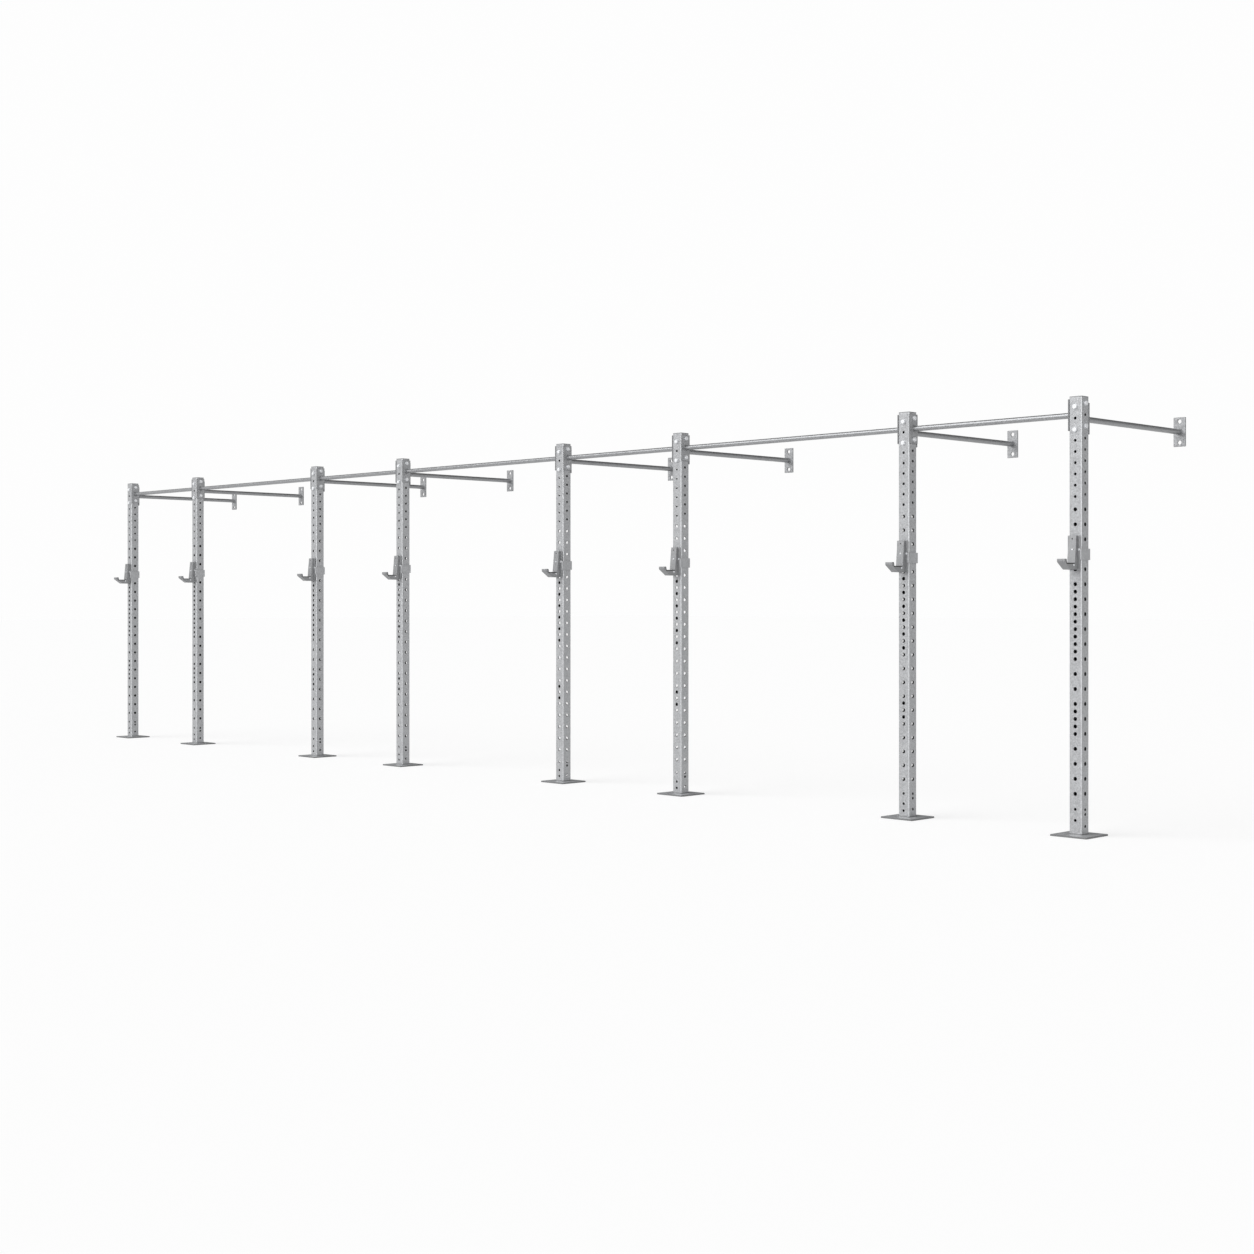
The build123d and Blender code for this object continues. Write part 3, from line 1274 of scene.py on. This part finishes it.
@dataclass
class Studio:
    """A plain pale floor, one soft key light, a soft surround, and the camera.

    Each fall of the surround's light says from where to where along one direction it changes, and
    from what to what.
    """

    floor_size: float = 120.0
    floor_drop: float = 0.0004
    backdrop: float = 0.986
    floor_glow: float = 0.568
    floor_shadow: float = 0.50
    floor_tone: float = 0.8
    key_strength: float = 1.85
    key_turn: float = -24.0
    key_rise: float = 38.0
    key_softness: float = 1.0
    ambient: float = 0.46
    front_levels: tuple[float, ...] = (0.25, 0.9, 0.85, 0.6)
    back_levels: tuple[float, ...] = (0.02, 0.5, 0.7, 0.2)
    back_corner: tuple[float, ...] = (-0.7, 0.1, 0.2, 1.0)
    behind: tuple[float, ...] = (-0.35, 0.6, 0.0, 1.0)
    side_box: tuple[float, ...] = (0.15, 0.6, 0.0, 2.6)
    side_depth: tuple[float, ...] = (-0.6, 0.8, 1.0, 0.0)
    side_rise: tuple[float, ...] = (0.2, 0.7, 1.0, 0.0)
    lamp_distance: float = 20.0
    view_range: tuple[float, float] = (0.1, 500.0)
    camera_place: tuple[float, float, float] = (10.7988, -9.5403, 1.3282)
    camera_aim: tuple[float, float, float] = (-0.71123, 0.70296, 0.0)
    focal_pixels: float = 1806.29
    horizon_pixel: float = 602.48
    sensor: float = 36.0

    def floor(self) -> None:
        """Lay the floor, which shows as white but for the shadow of the station."""
        bm = bmesh.new()
        ops.create_grid(bm, x_segments=4, y_segments=4, size=self.floor_size)
        ops.translate(bm, vec=(0, 0, -self.floor_drop), verts=bm.verts[:])
        mesh = bpy.data.meshes.new("studio_floor")
        bm.to_mesh(mesh)
        bm.free()
        material = bpy.data.materials.new("studio_floor")
        material.use_nodes = True
        sheet = NodeSheet(material.node_tree)
        _, seen = sheet.looked_at()
        glow = sheet.add("Emission", {"Color": (1, 1, 1, 1), "Strength": self.floor_glow})
        shadow = sheet.add("BsdfDiffuse", {"Color": (self.floor_shadow,) * 3 + (1,)})
        shown = sheet.add("AddShader", {0: glow.outputs[0], 1: shadow.outputs[0]})
        plain = sheet.add("BsdfDiffuse", {"Color": (self.floor_tone,) * 3 + (1,)})
        mixed = sheet.add("MixShader", {0: seen, 1: plain.outputs[0], 2: shown.outputs[0]})
        sheet.add("OutputMaterial", {"Surface": mixed.outputs[0]})
        mesh.materials.append(material)
        floor = bpy.data.objects.new("studio_floor", mesh)
        bpy.context.scene.collection.objects.link(floor)

    def surround(self) -> None:
        """Set the surround: white to look at, uneven in reflections, and a low even light otherwise."""
        world = bpy.data.worlds.new("studio_surround")
        world.use_nodes = True
        sheet = NodeSheet(world.node_tree)
        by_camera, seen = sheet.looked_at()
        way = sheet.add("SeparateXYZ", {0: sheet.add("TexCoord").outputs["Generated"]}).outputs
        front = self._fall(sheet, way["Z"], self.front_levels)
        back = self._fall(sheet, way["Z"], self.back_levels)
        back = sheet.math("MULTIPLY", back, self._fall(sheet, way["X"], self.back_corner))
        behind = self._fall(sheet, way["Y"], self.behind)
        front = sheet.math("MULTIPLY", front, sheet.math("SUBTRACT", 1.0, behind))
        level = sheet.math("ADD", front, sheet.math("MULTIPLY", back, behind))
        side = self._fall(sheet, way["X"], self.side_box)
        side = sheet.math("MULTIPLY", side, self._fall(sheet, way["Y"], self.side_depth))
        side = sheet.math("MULTIPLY", side, self._fall(sheet, way["Z"], self.side_rise))
        level = sheet.math("ADD", level, side)
        level = sheet.math("MULTIPLY", level, sheet.math("SUBTRACT", 1.0, by_camera))
        strength = sheet.math("ADD", level, sheet.math("MULTIPLY", by_camera, self.backdrop))
        backdrop = sheet.add("Background", {"Color": (1, 1, 1, 1), "Strength": strength})
        even = sheet.add("Background", {"Color": (1, 1, 1, 1), "Strength": self.ambient})
        mixed = sheet.add("MixShader", {0: seen, 1: even.outputs[0], 2: backdrop.outputs[0]})
        sheet.add("OutputWorld", {"Surface": mixed.outputs[0]})
        bpy.context.scene.world = world

    def _fall(self, sheet: NodeSheet, source: NodeSocket, span: tuple[float, ...]) -> NodeSocket:
        """A soft change along one direction.

        Args:
            sheet: the nodes of the surround.
            source: how far the look goes in that direction.
            span: where the change starts and stops, and its first and last value.

        Returns:
            The changing value.
        """
        inputs = dict(zip(("Value", "From Min", "From Max", "To Min", "To Max"), (source, *span)))
        return sheet.add("MapRange", inputs, interpolation_type="SMOOTHSTEP").outputs["Result"]

    def key_light(self) -> None:
        """Hang the broad key light in front of the station, to the left and above."""
        turn, rise = math.radians(self.key_turn), math.radians(self.key_rise)
        back = Vector((math.sin(turn) * math.cos(rise), -math.cos(turn) * math.cos(rise), math.sin(rise)))
        lamp = bpy.data.lights.new("key_light", "SUN")
        lamp.energy = self.key_strength
        lamp.angle = self.key_softness
        made = bpy.data.objects.new("key_light", lamp)
        made.rotation_mode = "QUATERNION"
        made.rotation_quaternion = (-back).to_track_quat("-Z", "Y")
        made.location = back * self.lamp_distance
        bpy.context.scene.collection.objects.link(made)

    def camera(self) -> None:
        """Set up the camera at the photograph's place, level, with a small shift for its horizon."""
        lens = bpy.data.cameras.new("camera")
        lens.sensor_width = self.sensor
        lens.lens = self.sensor * self.focal_pixels / IMAGE_SIZE
        lens.shift_y = (self.horizon_pixel - IMAGE_SIZE / 2) / IMAGE_SIZE
        lens.clip_start, lens.clip_end = self.view_range
        made = bpy.data.objects.new("camera", lens)
        made.location = self.camera_place
        made.rotation_mode = "QUATERNION"
        made.rotation_quaternion = Vector(self.camera_aim).to_track_quat("-Z", "Y")
        bpy.context.scene.collection.objects.link(made)
        bpy.context.scene.camera = made

    def build(self) -> None:
        """Set up the whole studio."""
        bpy.context.scene.view_settings.view_transform = "Standard"
        self.floor()
        self.surround()
        self.key_light()
        self.camera()


def main() -> None:
    """Build the station's sub-assemblies in order, then the studio."""
    logging.basicConfig(level=logging.INFO, format="%(name)s %(message)s")
    plate_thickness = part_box("wall_arm_1")[0].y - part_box("upright_1")[1].y
    Studio().build()
    Uprights().build()
    plates = Plates()
    plates.base_plates()
    plates.caps()
    plates.end_plates(plate_thickness)
    Pipes().build()
    JointBolts().build(plate_thickness)
    for number in NUMBERS:
        JCup(number).build()


if __name__ == "__main__":
    main()
